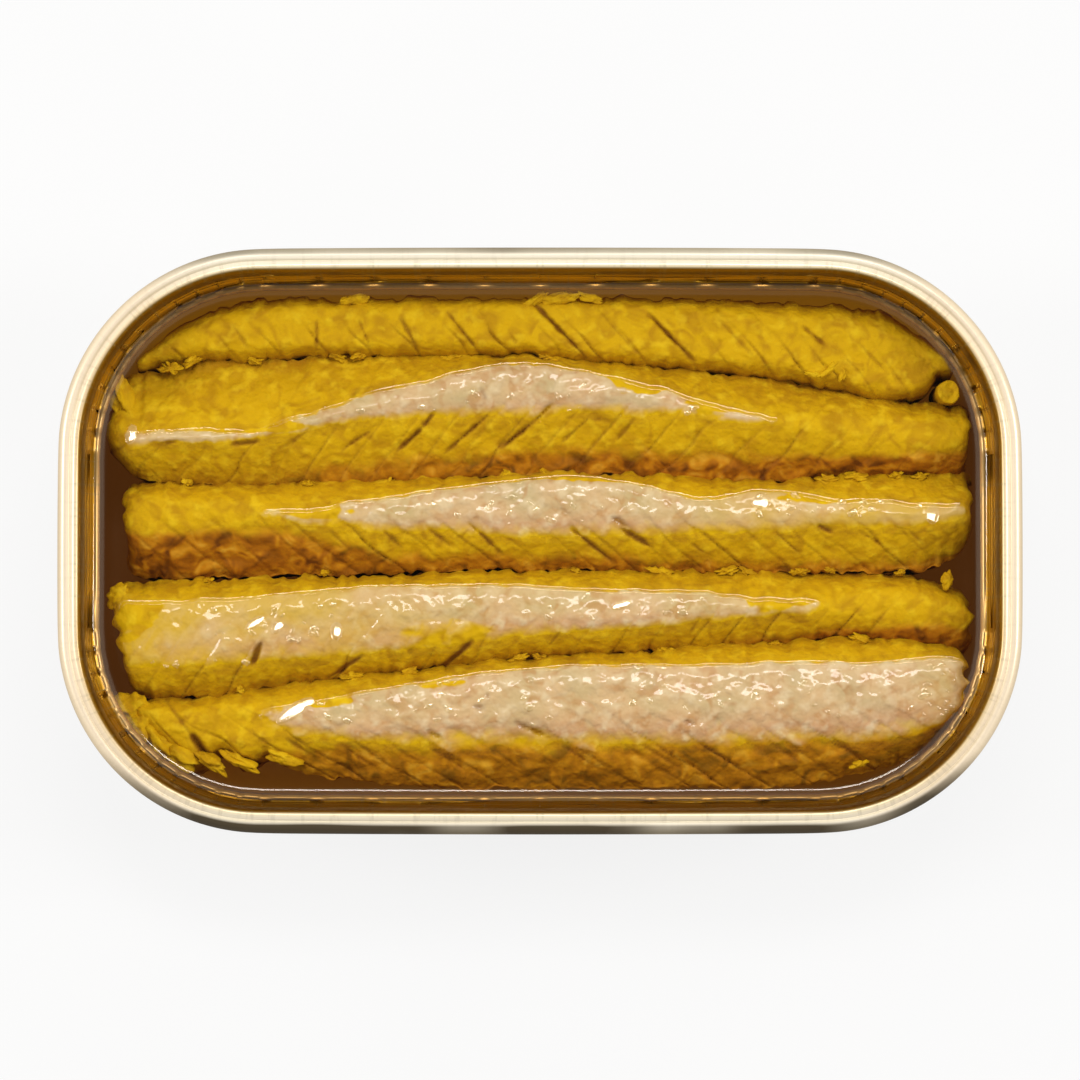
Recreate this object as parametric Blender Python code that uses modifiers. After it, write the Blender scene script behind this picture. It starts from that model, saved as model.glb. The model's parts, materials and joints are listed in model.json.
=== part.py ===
"""Opened tin of mackerel in oil, at real size, in metres.

The origin is under the middle of the tin, on the surface it stands on. +X runs along the
tin, +Y across it and +Z up. A drawn tin body carries the seam and the narrow rim of the
pulled-off lid. Five mackerel fillets and one small stub of fish stand side by side in oil.
"""

import math

import bmesh
import bpy
import numpy as np

MM = 0.001

# The tin: outline of the seam seen from above, and its height.
TIN_LENGTH = 106.0
TIN_WIDTH = 63.8
TIN_HEIGHT = 24.0
CORNER_RADIUS = 22.2
SIDE_BOW = 0.35
CORNER_STEPS = 7
SIDE_STEPS = 3
SHEET = 0.3

# The contents: their underside, the level of the oil, and the room left between pieces.
CONTENTS_BOTTOM = 1.15
OIL_LEVEL = 18.5
GAP = 0.3
CUTTER_OVERRUN = 1.0
LIP_INSET = 4.0
FISH_INSET = LIP_INSET + GAP + SHEET / 2

# Sheet profiles as (distance in from the seam's outline, height), along the sheet's middle.
BODY_PROFILE = (
    (1.45, 23.2),
    (1.45, 17.0),
    (1.9, 2.5),
    (2.3, 1.2),
    (3.2, 0.4),
    (4.5, SHEET / 2),
    (8.6, SHEET / 2),
    (9.1, 0.65),
    (10.1, 0.65),
    (10.6, SHEET / 2),
)
SEAM_PROFILE = (
    (0.45, 21.1),
    (SHEET / 2, 21.7),
    (SHEET / 2, 22.9),
    (0.4, 23.45),
    (0.9, 23.76),
    (1.5, TIN_HEIGHT - SHEET / 2),
    (2.05, 23.68),
    (2.45, 23.2),
    (2.65, 22.5),
    (3.0, 19.7),
    (3.25, 19.05),
    (3.6, 18.85),
    (LIP_INSET, 18.9),
)
OIL_PROFILE = (
    (4.4, CONTENTS_BOTTOM),
    (2.4, 3.2),
    (2.4, 18.0),
    (LIP_INSET + 0.45, 18.2),
    (LIP_INSET + 0.45, OIL_LEVEL),
)

# A fillet's back: how far its flanks fall below the crest, and the steps round and along it.
FLANK_DROP = 4.5
LEAST_SHOULDER_DROP = 0.3
SHOULDER_PART_RANGE = (0.1, 0.93)
LEAST_POWER = 1.15
BACK_STEPS = 8
STATION_PITCH = 2.4
MYOMERE_GROOVE = 0.25
END_ROUNDING = 1.8
END_NARROWING = 0.3
END_DROP = 1.6
END_FADE = 8.0
END_STEPS = (0.0, 0.4, 1.2)

# Each fillet's stations along the tin, in mm: place, far edge, far shoulder, near shoulder,
# near edge, and the crest's height over the oil. The shoulders are where the oil meets it.
FILLET_STATIONS = {
    "fillet_1": (
        (-43.6, 21.3, 20.9, 20.0, 19.3, -1.5),
        (-39.0, 24.2, 23.2, 21.2, 20.4, -1.0),
        (-33.0, 26.0, 25.0, 21.6, 20.5, -0.8),
        (-20.0, 26.9, 26.0, 22.0, 21.0, -0.7),
        (-10.0, 27.0, 26.2, 22.0, 21.0, -0.6),
        (0.0, 27.2, 26.3, 21.8, 20.9, -0.6),
        (8.0, 27.1, 26.1, 21.2, 20.0, -0.7),
        (18.0, 26.8, 25.6, 20.6, 19.4, -0.7),
        (27.0, 26.5, 25.0, 19.6, 18.5, -0.7),
        (34.0, 25.8, 24.4, 18.2, 16.9, -0.8),
        (38.5, 24.2, 23.0, 17.2, 16.0, -0.9),
        (41.4, 22.4, 21.4, 17.0, 15.7, -1.1),
        (43.8, 20.9, 20.4, 19.0, 18.5, -1.4),
        (45.9, 19.6, 19.4, 18.9, 18.4, -1.9),
    ),
    "fillet_2": (
        (-48.0, 14.6, 14.0, 11.5, 10.2, -1.0),
        (-46.4, 17.9, 13.2, 10.2, 8.9, -0.1),
        (-44.4, 18.9, 12.2, 10.4, 7.4, 0.4),
        (-42.0, 18.8, 12.0, 10.9, 7.1, 0.4),
        (-38.0, 20.0, 12.1, 10.9, 6.9, 0.4),
        (-32.0, 20.1, 12.6, 11.1, 6.9, 0.4),
        (-26.6, 20.3, 14.0, 11.9, 6.9, 0.5),
        (-20.0, 20.6, 16.2, 13.3, 7.0, 0.7),
        (-12.0, 20.6, 18.2, 13.7, 7.3, 0.9),
        (-2.0, 20.5, 19.7, 13.8, 7.8, 1.0),
        (5.5, 19.9, 18.7, 14.3, 7.9, 0.9),
        (14.0, 19.2, 16.8, 13.9, 7.4, 0.6),
        (24.0, 18.3, 14.2, 13.0, 7.1, 0.3),
        (32.0, 16.9, 14.0, 11.2, 7.4, -0.4),
        (43.0, 14.8, 13.0, 10.4, 8.1, -0.6),
        (47.4, 14.3, 12.8, 10.8, 9.3, -1.0),
    ),
    "fillet_3": (
        (-46.3, 6.4, 4.6, 0.6, -3.1, -0.9),
        (-40.0, 6.5, 4.6, 1.0, -3.6, -0.6),
        (-33.0, 6.5, 4.4, 1.8, -3.6, -0.2),
        (-26.0, 6.55, 3.7, 2.0, -3.4, 0.3),
        (-20.0, 6.6, 4.5, 1.5, -3.1, 0.6),
        (-7.0, 7.1, 6.3, 0.6, -2.7, 0.9),
        (5.0, 7.5, 7.1, 0.5, -2.7, 1.0),
        (12.0, 7.2, 6.2, 0.6, -2.9, 0.9),
        (19.0, 6.8, 4.9, 0.9, -3.0, 0.6),
        (24.0, 6.6, 5.7, 1.1, -3.0, 0.8),
        (34.0, 7.1, 4.7, 1.4, -2.8, 0.7),
        (40.0, 7.5, 4.4, 1.6, -2.0, 0.6),
        (44.5, 7.6, 4.1, 2.0, -0.5, 0.4),
        (47.4, 6.8, 4.6, 3.0, 1.9, -0.8),
    ),
    "fillet_4": (
        (-46.9, -4.7, -6.6, -13.8, -15.6, 0.2),
        (-44.0, -4.6, -6.6, -14.0, -16.6, 0.5),
        (-38.0, -4.5, -6.5, -13.8, -16.9, 0.7),
        (-27.0, -4.1, -5.6, -13.0, -15.3, 0.9),
        (-15.5, -3.9, -4.8, -12.1, -14.0, 1.0),
        (-4.0, -3.5, -4.8, -10.8, -12.8, 0.9),
        (7.0, -3.4, -5.3, -9.9, -12.2, 0.8),
        (18.0, -3.6, -5.6, -9.0, -11.4, 0.7),
        (28.0, -3.6, -6.3, -8.0, -10.7, 0.4),
        (35.0, -3.7, -5.8, -8.4, -10.4, -0.3),
        (42.0, -4.2, -5.8, -8.8, -10.9, -0.7),
        (47.4, -6.6, -7.6, -9.4, -10.8, -1.2),
    ),
    "fillet_5": (
        (-45.4, -17.6, -18.1, -19.0, -19.6, -1.2),
        (-43.0, -17.5, -18.4, -20.4, -22.2, -0.8),
        (-37.6, -17.4, -18.8, -22.6, -25.1, -0.5),
        (-35.2, -17.0, -18.4, -21.9, -23.4, -0.4),
        (-32.8, -16.6, -18.2, -22.6, -25.2, -0.2),
        (-30.4, -16.2, -18.0, -22.0, -24.0, 0.1),
        (-27.0, -15.7, -17.8, -21.7, -25.0, 0.4),
        (-15.5, -14.4, -15.9, -22.4, -26.6, 0.9),
        (-4.0, -13.3, -14.2, -22.7, -27.1, 1.0),
        (7.0, -12.7, -13.7, -22.7, -27.1, 1.0),
        (18.0, -11.9, -13.4, -22.6, -26.9, 1.0),
        (30.0, -11.2, -13.3, -22.3, -26.6, 1.0),
        (37.0, -11.0, -13.3, -22.0, -25.0, 1.0),
        (43.0, -11.9, -13.0, -20.6, -22.4, 0.9),
        (46.7, -12.9, -13.6, -17.6, -18.0, 0.5),
    ),
}
# How far a fillet's flake lines run along the tin for each mm across it, by its grain.
FLAKE_SLANT = {
    "fillet_1": -0.9,
    "fillet_2": 0.7,
    "fillet_3": -0.8,
    "fillet_4": 0.6,
    "fillet_5": -0.7,
}
# How far each end leans along the tin for each mm across it: left end, right end.
END_LEAN = {
    "fillet_1": (0.0, 0.0),
    "fillet_2": (0.0, 0.0),
    "fillet_3": (0.0, 0.1),
    "fillet_4": (-0.2, 0.0),
    "fillet_5": (0.0, 0.0),
}

# The stub: a short strip of fish that stands on end beside the far right corner.
STUB_CENTRE = (45.3, 16.65)
STUB_RADII = (1.25, 1.35)
STUB_TOP = OIL_LEVEL - 0.6
STUB_ROUNDING = 0.6
STUB_SIDES = 12


def start_scene():
    """Empties the scene and makes one collection for the tin and one for the cutters."""
    for obj in list(bpy.data.objects):
        bpy.data.objects.remove(obj)
    shown = bpy.data.collections.new("tin_of_mackerel")
    cutters = bpy.data.collections.new("cutters")
    for collection in (shown, cutters):
        bpy.context.scene.collection.children.link(collection)
    cutters.hide_render = True
    return shown, cutters


def finish(name, colour, roughness, metallic=0.0, transmission=0.0):
    material = bpy.data.materials.new(name)
    material.use_nodes = True
    shader = material.node_tree.nodes["Principled BSDF"]
    shader.inputs["Base Color"].default_value = (*colour, 1.0)
    shader.inputs["Roughness"].default_value = roughness
    shader.inputs["Metallic"].default_value = metallic
    shader.inputs["Transmission Weight"].default_value = transmission
    return material


def object_from(bm, name, collection, material=None):
    mesh = bpy.data.meshes.new(name)
    bm.to_mesh(mesh)
    bm.free()
    obj = bpy.data.objects.new(name, mesh)
    collection.objects.link(obj)
    if material:
        mesh.materials.append(material)
    return obj


def plan_outline(inset):
    """The tin's outline seen from above, moved in by inset: round corners, bowed long sides."""
    half_x = TIN_LENGTH / 2 - inset
    half_y = TIN_WIDTH / 2 - inset
    radius = CORNER_RADIUS - inset
    points = []
    for quarter in range(4):
        sign_x = (1, -1, -1, 1)[quarter]
        sign_y = (1, 1, -1, -1)[quarter]
        for step in range(CORNER_STEPS + 1):
            angle = math.radians(90 * (quarter + step / CORNER_STEPS))
            x = sign_x * (half_x - radius) + radius * math.cos(angle)
            y = sign_y * (half_y - radius) + radius * math.sin(angle)
            points.append((x, y))
        if quarter % 2 == 0:
            span = 2 * (half_x - radius)
            for step in range(1, SIDE_STEPS):
                x = sign_x * (half_x - radius - span * step / SIDE_STEPS)
                points.append((x, sign_y * half_y))
    return [(x, y + side_bow(x) * y / half_y) for x, y in points]


def side_bow(x):
    return SIDE_BOW * (1 - (2 * x / TIN_LENGTH) ** 2)


def reach_across(x, inset):
    """How far from the middle the outline moved in by inset lies, at x."""
    radius = CORNER_RADIUS - inset
    past_straight = max(abs(x) - (TIN_LENGTH / 2 - CORNER_RADIUS), 0.0)
    round_part = math.sqrt(max(radius**2 - past_straight**2, 0.0))
    return TIN_WIDTH / 2 - CORNER_RADIUS + round_part + side_bow(x)


def ring_of_points(bm, points):
    return [bm.verts.new((x * MM, y * MM, z * MM)) for x, y, z in points]


def loft(bm, rings):
    """Joins each ring of points to the next by a band of faces."""
    for ring, following in zip(rings, rings[1:]):
        for k in range(len(ring)):
            bm.faces.new((ring[k - 1], ring[k], following[k], following[k - 1]))


def swept_walls(profile, closed_ends):
    """The surface that a profile of (inset, height) makes round the tin."""
    bm = bmesh.new()
    rings = []
    for inset, height in profile:
        rings.append(ring_of_points(bm, [(x, y, height) for x, y in plan_outline(inset)]))
    loft(bm, rings)
    for end in closed_ends:
        bm.faces.new(rings[end])
    bmesh.ops.recalc_face_normals(bm, faces=bm.faces)
    return bm


def thicken(obj, thickness):
    solidify = obj.modifiers.new("sheet", "SOLIDIFY")
    solidify.thickness = thickness * MM
    solidify.offset = 0.0
    solidify.use_even_offset = True
    obj.data.shade_smooth()
    obj.data.set_sharp_from_angle(angle=math.radians(50))


def build_tin_body(shown):
    """The drawn tin: straight walls, rounded base edge and a flat base with a stiffening bead."""
    bm = swept_walls(BODY_PROFILE, closed_ends=[-1])
    obj = object_from(bm, "tin_body", shown, finish("drawn_aluminium", (0.72, 0.66, 0.52), 0.3, 1.0))
    thicken(obj, SHEET)


def build_seam_ring(shown):
    """The double seam with the lid's chuck wall and the narrow lip left where the lid tore off."""
    bm = swept_walls(SEAM_PROFILE, closed_ends=[])
    obj = object_from(bm, "seam_ring", shown, finish("lacquered_rim", (0.86, 0.75, 0.55), 0.25, 1.0))
    thicken(obj, SHEET)


def station_curves(name):
    """Smooth curves through a fillet's stations, as the places, the values and their slopes."""
    table = np.array(FILLET_STATIONS[name])
    places = table[:, 0]
    values = table[:, 1:]
    slopes = np.gradient(values, places, axis=0)
    return places, values, slopes


def read_curves(curves, x):
    """The five values at x, by cubic steps between the two stations on either side."""
    places, values, slopes = curves
    x = min(max(x, places[0]), places[-1])
    k = min(int(np.searchsorted(places, x, side="right")) - 1, len(places) - 2)
    step = places[k + 1] - places[k]
    t = (x - places[k]) / step
    start = (1 + 2 * t) * (1 - t) ** 2 * values[k] + t * (1 - t) ** 2 * step * slopes[k]
    end = t**2 * (3 - 2 * t) * values[k + 1] - t**2 * (1 - t) * step * slopes[k + 1]
    return start + end


def end_rounding(setback):
    """0 at a fillet's very end, rising to 1 where its blunt end is over."""
    away = min(setback / END_ROUNDING, 1.0)
    return math.sqrt(1 - (1 - away) ** 2)


def back_point(curves, x, across, setback, groove, grow):
    """A point of a fillet's back: across runs from -1 at the near edge to 1 at the far edge."""
    far, far_shoulder, near_shoulder, near, height = read_curves(curves, x)
    far = min(far, reach_across(x, FISH_INSET))
    near = max(near, -reach_across(x, FISH_INSET))
    crest = (far_shoulder + near_shoulder) / 2
    edge, shoulder = (far, far_shoulder) if across > 0 else (near, near_shoulder)
    rounding = end_rounding(setback)
    reach = (edge - crest) * (1 - END_NARROWING * (1 - rounding))
    least_part, most_part = SHOULDER_PART_RANGE
    shoulder_part = min(max((shoulder - crest) / (edge - crest), least_part), most_part)
    shoulder_drop = max(height, LEAST_SHOULDER_DROP) / FLANK_DROP
    power = math.log(shoulder_drop) / math.log(shoulder_part)
    drop = FLANK_DROP * abs(across) ** max(power, LEAST_POWER)
    y = crest + abs(across) * (reach + math.copysign(grow, edge - crest))
    end_drop = END_DROP * (1 - rounding)
    z = OIL_LEVEL + height - drop - groove * (1 - across**2) - end_drop + grow
    return y, z


def ring_places(left, right):
    """Where a fillet's rings stand: close together at its blunt ends, evenly spaced between."""
    start, stop = left + 2 * END_STEPS[-1], right - 2 * END_STEPS[-1]
    count = 2 * round((stop - start) / STATION_PITCH / 2)
    between = [start + (stop - start) * k / count for k in range(count + 1)]
    return [left + step for step in END_STEPS] + between + [right - step for step in END_STEPS[::-1]]


def lofted_fish(name, collection, material=None, grow=0.0):
    """A fillet lofted along its stations; grow moves all its faces out, for the oil's cutter."""
    curves = station_curves(name)
    left, right = curves[0][0] - grow, curves[0][-1] + grow
    places = ring_places(left, right)
    bottom = CONTENTS_BOTTOM if grow == 0 else CONTENTS_BOTTOM - CUTTER_OVERRUN
    across_steps = [math.sin(math.pi * (k / BACK_STEPS - 0.5)) for k in range(BACK_STEPS + 1)]
    bm = bmesh.new()
    rings = []
    for k, place in enumerate(places):
        setback = max(min(place - left, right - place), 0.0)
        fade = min(setback / END_FADE, 1.0)
        lean = END_LEAN[name][0 if place < 0 else 1]
        groove = MYOMERE_GROOVE * fade if k % 2 and grow == 0 else 0.0
        middle = sum(read_curves(curves, place)[[0, 3]]) / 2
        ring = []
        for across in across_steps:
            y, _ = back_point(curves, place, across, setback, groove, grow)
            x = place + (FLAKE_SLANT[name] * fade + lean * (1 - fade)) * (y - middle)
            y, z = back_point(curves, x, across, setback, groove, grow)
            ring.append((x, y, z))
        near_x, near_y, _ = ring[0]
        far_x, far_y, _ = ring[-1]
        ring.append((far_x, far_y, bottom))
        ring.append((near_x, near_y, bottom))
        rings.append(ring_of_points(bm, ring))
    loft(bm, rings)
    bm.faces.new(rings[0])
    bm.faces.new(rings[-1])
    bmesh.ops.recalc_face_normals(bm, faces=bm.faces)
    return object_from(bm, name if grow == 0 else name + "_cutter", collection, material)


def stub_solid(name, collection, material=None, grow=0.0):
    """The stub: an upright oval stick with a rounded top."""
    bottom = CONTENTS_BOTTOM if grow == 0 else CONTENTS_BOTTOM - CUTTER_OVERRUN
    height = STUB_TOP + grow - bottom
    bm = bmesh.new()
    bmesh.ops.create_cone(
        bm, cap_ends=True, segments=STUB_SIDES, radius1=MM, radius2=MM, depth=height * MM
    )
    top_rim = [e for e in bm.edges if all(v.co.z > 0 for v in e.verts)]
    bmesh.ops.scale(bm, vec=(STUB_RADII[0] + grow, STUB_RADII[1] + grow, 1.0), verts=bm.verts)
    bmesh.ops.bevel(bm, geom=top_rim, offset=STUB_ROUNDING * MM, segments=2, profile=0.5, affect="EDGES")
    centre = (STUB_CENTRE[0] * MM, STUB_CENTRE[1] * MM, (bottom + height / 2) * MM)
    bmesh.ops.translate(bm, vec=centre, verts=bm.verts)
    return object_from(bm, name, collection, material)


def build_fish(shown, cutters):
    """The five fillets and the stub, and their grown copies for cutting the oil."""
    flesh = finish("mackerel_flesh", (0.52, 0.36, 0.10), 0.45)
    for name in FILLET_STATIONS:
        lofted_fish(name, shown, flesh)
        lofted_fish(name, cutters, grow=GAP)
    stub_solid("fish_stub", shown, flesh)
    stub_solid("fish_stub_cutter", cutters, grow=GAP)
    for cutter in cutters.objects:
        cutter.hide_render = True
        cutter.display_type = "WIRE"


def build_oil(shown, cutters):
    """The oil: fills the tin up to its level, cut round the fish."""
    bm = swept_walls(OIL_PROFILE, closed_ends=[0, -1])
    oil = object_from(bm, "oil", shown, finish("oil", (0.55, 0.33, 0.03), 0.05, 0.0, 0.8))
    cut = oil.modifiers.new("room_for_fish", "BOOLEAN")
    cut.operand_type = "COLLECTION"
    cut.collection = cutters
    cut.operation = "DIFFERENCE"
    # The exact solver leaves open edges where the overlapping cutters cross.
    cut.solver = "MANIFOLD"


def main():
    shown, cutters = start_scene()
    build_tin_body(shown)
    build_seam_ring(shown)
    build_fish(shown, cutters)
    build_oil(shown, cutters)


main()
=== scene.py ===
"""An opened tin of mackerel fillets in oil, seen from above in plain soft studio light.

The script follows the tin as a cannery makes it: the drawn body, the seam and the rim of the
torn-off lid, the fillets side by side, and the oil poured over them.
"""

import functools
import json
import math

import bpy
import numpy as np
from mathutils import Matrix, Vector

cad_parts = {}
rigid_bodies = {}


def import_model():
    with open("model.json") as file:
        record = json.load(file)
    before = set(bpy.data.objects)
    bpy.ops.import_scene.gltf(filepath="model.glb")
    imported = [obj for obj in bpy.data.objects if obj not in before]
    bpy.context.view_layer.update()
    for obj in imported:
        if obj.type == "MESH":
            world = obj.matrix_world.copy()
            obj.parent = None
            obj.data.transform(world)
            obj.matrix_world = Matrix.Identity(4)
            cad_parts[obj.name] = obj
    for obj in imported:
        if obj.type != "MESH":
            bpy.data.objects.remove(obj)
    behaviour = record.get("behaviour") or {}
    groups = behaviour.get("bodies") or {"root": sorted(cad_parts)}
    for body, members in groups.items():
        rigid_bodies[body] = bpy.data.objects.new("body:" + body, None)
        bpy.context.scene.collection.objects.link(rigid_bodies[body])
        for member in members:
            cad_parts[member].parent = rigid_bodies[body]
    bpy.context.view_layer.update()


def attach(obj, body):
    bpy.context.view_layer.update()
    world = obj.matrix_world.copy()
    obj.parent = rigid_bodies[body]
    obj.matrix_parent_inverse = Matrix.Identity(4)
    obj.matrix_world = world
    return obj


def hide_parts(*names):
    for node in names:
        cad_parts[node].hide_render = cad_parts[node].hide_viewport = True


for leftover in list(bpy.data.objects):
    bpy.data.objects.remove(leftover)
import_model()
bpy.ops.object.select_all(action="DESELECT")


# ---------------------------------------------------------------------------------------
# The studio: a white table, one large soft light behind the tin and one at each side, and
# a camera straight above, a little on the near side.
# ---------------------------------------------------------------------------------------
MM = 0.001
RIM_HEIGHT = 24 * MM
CAMERA_RISE = 0.5
CAMERA_BACK = 0.016
SEEN_WIDTH = 118.2 * MM
SENSOR = 36.0


def hex_colour(code):
    """An sRGB hex value as the linear colour that a socket takes."""
    parts = [int(code[k : k + 2], 16) / 255 for k in (1, 3, 5)]
    return (*[p / 12.92 if p <= 0.04045 else ((p + 0.055) / 1.055) ** 2.4 for p in parts], 1.0)


def feed(node, inputs):
    """Gives a node's inputs their values: a number, a hex colour, or an output or a node to link."""
    for name, value in inputs.items():
        if isinstance(value, bpy.types.Node):
            value = next(output for output in value.outputs if output.enabled)
        if isinstance(value, bpy.types.NodeSocket):
            node.id_data.links.new(value, node.inputs[name])
        else:
            node.inputs[name].default_value = hex_colour(value) if isinstance(value, str) else value


def add_node(tree, kind, inputs=None, stops=None, **settings):
    """Adds a shader node with its settings, its inputs and, on a ramp, its colour stops."""
    node = tree.nodes.new("ShaderNode" + kind)
    for name, value in settings.items():
        setattr(node, name, value)
    feed(node, inputs or {})
    if stops:
        elements = node.color_ramp.elements
        while len(elements) < len(stops):
            elements.new(0.5)
        for element, (place, code) in zip(elements, stops):
            element.position = place
            element.color = hex_colour(code)
    return node


def new_material(name):
    """A material, its Principled shader, and add_node for its own tree."""
    material = bpy.data.materials.new(name)
    material.use_nodes = True
    tree = material.node_tree
    return material, tree.nodes["Principled BSDF"], functools.partial(add_node, tree)


bpy.ops.object.camera_add(location=(0, -CAMERA_BACK, RIM_HEIGHT + CAMERA_RISE))
camera = bpy.context.object
camera.rotation_euler = (math.atan2(CAMERA_BACK, CAMERA_RISE), 0, 0)
camera.data.sensor_width = SENSOR
camera.data.lens = SENSOR * math.hypot(CAMERA_RISE, CAMERA_BACK) / SEEN_WIDTH
bpy.context.scene.camera = camera
bpy.context.scene.view_settings.view_transform = "Standard"

# The softboxes: name, place, width, height and power.
for name, place, width, height, power in (
    ("left_softbox", (-0.50, 0.06, 0.46), 0.20, 0.16, 1.28),
    ("right_softbox", (0.50, 0.06, 0.46), 0.20, 0.16, 1.28),
    ("back_softbox", (0.03, 0.27, 0.58), 0.30, 0.12, 1.14),
):
    bpy.ops.object.light_add(type="AREA", location=place)
    softbox = bpy.context.object
    softbox.name = name
    softbox.rotation_euler = (-Vector(place)).to_track_quat("-Z", "Y").to_euler()
    softbox.data.shape = "RECTANGLE"
    softbox.data.size = width
    softbox.data.size_y = height
    softbox.data.energy = power

# The room is pale to the left and right, dark straight above, where the camera stands, and
# dim on the near side. Each row: a direction, its limits, and the light's share at each.
room = bpy.data.worlds.new("studio_room")
bpy.context.scene.world = room
room.use_nodes = True
add = functools.partial(add_node, room.node_tree)
along = add("SeparateXYZ", {0: add("TexCoord").outputs["Generated"]})
sideways = add("Math", {0: along.outputs["X"]}, operation="ABSOLUTE")
glow = 1.0
for way, low, high, at_low, at_high in (
    (sideways, 0.1, 0.8, 0.55, 1.12),
    (along.outputs["Z"], 0.93, 0.985, 1.0, 0.12),
    (along.outputs["Y"], -0.6, 0.0, 0.6, 1.0),
):
    limits = {"From Min": low, "From Max": high, "To Min": at_low, "To Max": at_high}
    share = add("MapRange", {"Value": way, **limits})
    glow = add("Math", {0: glow, 1: share}, operation="MULTIPLY")
feed(room.node_tree.nodes["Background"], {"Color": "#FFFCF6", "Strength": glow})

bpy.ops.mesh.primitive_plane_add(size=3)
table = bpy.context.object
table.name = "white_table"
bpy.ops.object.transform_apply()
material, shader, add = new_material("lit_white_acrylic")
place = add("TexCoord").outputs["Object"]
mottle = add("TexNoise", {"Vector": place, "Scale": 40.0, "Detail": 0.0})
tone = add("ValToRGB", {"Fac": mottle}, stops=((0.0, "#5C5C5C"), (1.0, "#606060")))
feed(shader, {"Base Color": tone, "Roughness": 0.8})
feed(shader, {"Emission Color": "#FFFFFF", "Emission Strength": 0.805})
material.cycles.emission_sampling = "NONE"
table.data.materials.append(material)


# ---------------------------------------------------------------------------------------
# The body of the tin: one aluminium blank drawn into an oblong cup with round corners. The
# outside is bare bright metal, and the inside has a gold food lacquer baked on.
# ---------------------------------------------------------------------------------------
TIN_LENGTH = 106.0
TIN_WIDTH = 63.8
CORNER = 22.2
SIDE_BOW = 0.35
SIDE_CUTS = 9
SHEET = 0.3
OIL_LEVEL = 18.5
# The body's outer face from the rim down to the floor: how far in and how high, in mm.
BODY_WALK = (
    (1.45, 23.1), (1.45, 17.0), (1.6, 10.0), (1.85, 3.2), (2.1, 1.7), (2.7, 0.75),
    (3.5, 0.3), (4.6, 0.17), (8.6, 0.17), (9.1, 0.62), (10.1, 0.62), (10.6, 0.17),
)


def pick(kind, action="DESELECT"):
    """Enters edit mode for points, edges or faces, with none or all of them selected."""
    bpy.ops.object.mode_set(mode="EDIT")
    bpy.ops.mesh.select_mode(type=kind)
    bpy.ops.mesh.select_all(action=action)


def pick_edges(piece, fits):
    """Enters edit mode with those edges of a piece selected whose two ends fit."""
    pick("EDGE")
    bpy.ops.object.mode_set(mode="OBJECT")
    points = piece.data.vertices
    for edge in piece.data.edges:
        edge.select = fits(*(points[k].co for k in edge.vertices))
    bpy.ops.object.mode_set(mode="EDIT")


def face_outwards():
    """Turns all faces outwards and leaves edit mode."""
    bpy.ops.mesh.select_all(action="SELECT")
    bpy.ops.mesh.normals_make_consistent(inside=False)
    bpy.ops.object.mode_set(mode="OBJECT")


def outline_plate(name, inset, height, corner_steps=12):
    """A flat face of the tin's outline, moved in by inset and at height, in mm, in edit mode."""
    size_x = TIN_LENGTH - 2 * inset
    size_y = TIN_WIDTH - 2 * inset
    bpy.ops.object.select_all(action="DESELECT")
    bpy.ops.mesh.primitive_plane_add(size=1, location=(0, 0, height * MM))
    plate = bpy.context.object
    plate.name = name
    plate.scale = (size_x * MM, size_y * MM, 1)
    bpy.ops.object.transform_apply()
    pick("VERT", "SELECT")
    bpy.ops.mesh.bevel(offset=(CORNER - inset) * MM, segments=corner_steps, affect="VERTICES")
    bpy.ops.mesh.select_all(action="SELECT")
    bpy.ops.mesh.delete(type="ONLY_FACE")
    long_edge = (size_x - 2 * (CORNER - inset)) * MM * 0.99
    pick_edges(plate, lambda start, end: abs(start.x - end.x) > long_edge)
    bpy.ops.mesh.subdivide(number_cuts=SIDE_CUTS)
    bpy.ops.object.mode_set(mode="OBJECT")
    for point in plate.data.vertices:
        x = point.co.x / MM
        point.co.y *= 1 + SIDE_BOW * (1 - (2 * x / TIN_LENGTH) ** 2) / (TIN_WIDTH / 2)
    bpy.ops.object.mode_set(mode="EDIT")
    bpy.ops.mesh.select_all(action="SELECT")
    bpy.ops.mesh.edge_face_add()
    bpy.ops.object.mode_set(mode="OBJECT")
    if plate.data.polygons[0].normal.z < 0:
        plate.data.flip_normals()
    pick("FACE", "SELECT")
    return plate


def walk_in(profile):
    """Insets the selected face along a profile of (inset, height), in mm, as an open wall."""
    for (inset, height), (next_inset, next_height) in zip(profile, profile[1:]):
        bpy.ops.mesh.inset(thickness=(next_inset - inset) * MM, depth=(next_height - height) * MM)


def round_off(piece):
    """Rounds a piece with two levels of subdivision."""
    smooth = piece.modifiers.new("smooth", "SUBSURF")
    smooth.levels = 2
    smooth.render_levels = 2
    bpy.ops.object.modifier_apply(modifier="smooth")


def close_up(piece, rounded=False, lined=False):
    """Gives the sheet its thickness, with its faces turned outwards, and may round it."""
    bpy.ops.mesh.select_all(action="SELECT")
    bpy.ops.mesh.remove_doubles(threshold=1e-6)
    face_outwards()
    sheet = piece.modifiers.new("sheet", "SOLIDIFY")
    sheet.thickness = SHEET * MM
    sheet.offset = 0.0
    sheet.use_quality_normals = True
    sheet.material_offset = int(lined)
    bpy.ops.object.modifier_apply(modifier="sheet")
    if rounded:
        round_off(piece)
    bpy.ops.object.shade_smooth()


def points_of(piece):
    """A piece's points as an array in mm."""
    flat = np.empty(len(piece.data.vertices) * 3)
    piece.data.vertices.foreach_get("co", flat)
    return flat.reshape(-1, 3) / MM


def place_points(piece, x, y, z):
    """Moves a piece's points to places given in mm."""
    piece.data.vertices.foreach_set("co", (np.stack((x, y, z), axis=1) * MM).ravel())


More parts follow.
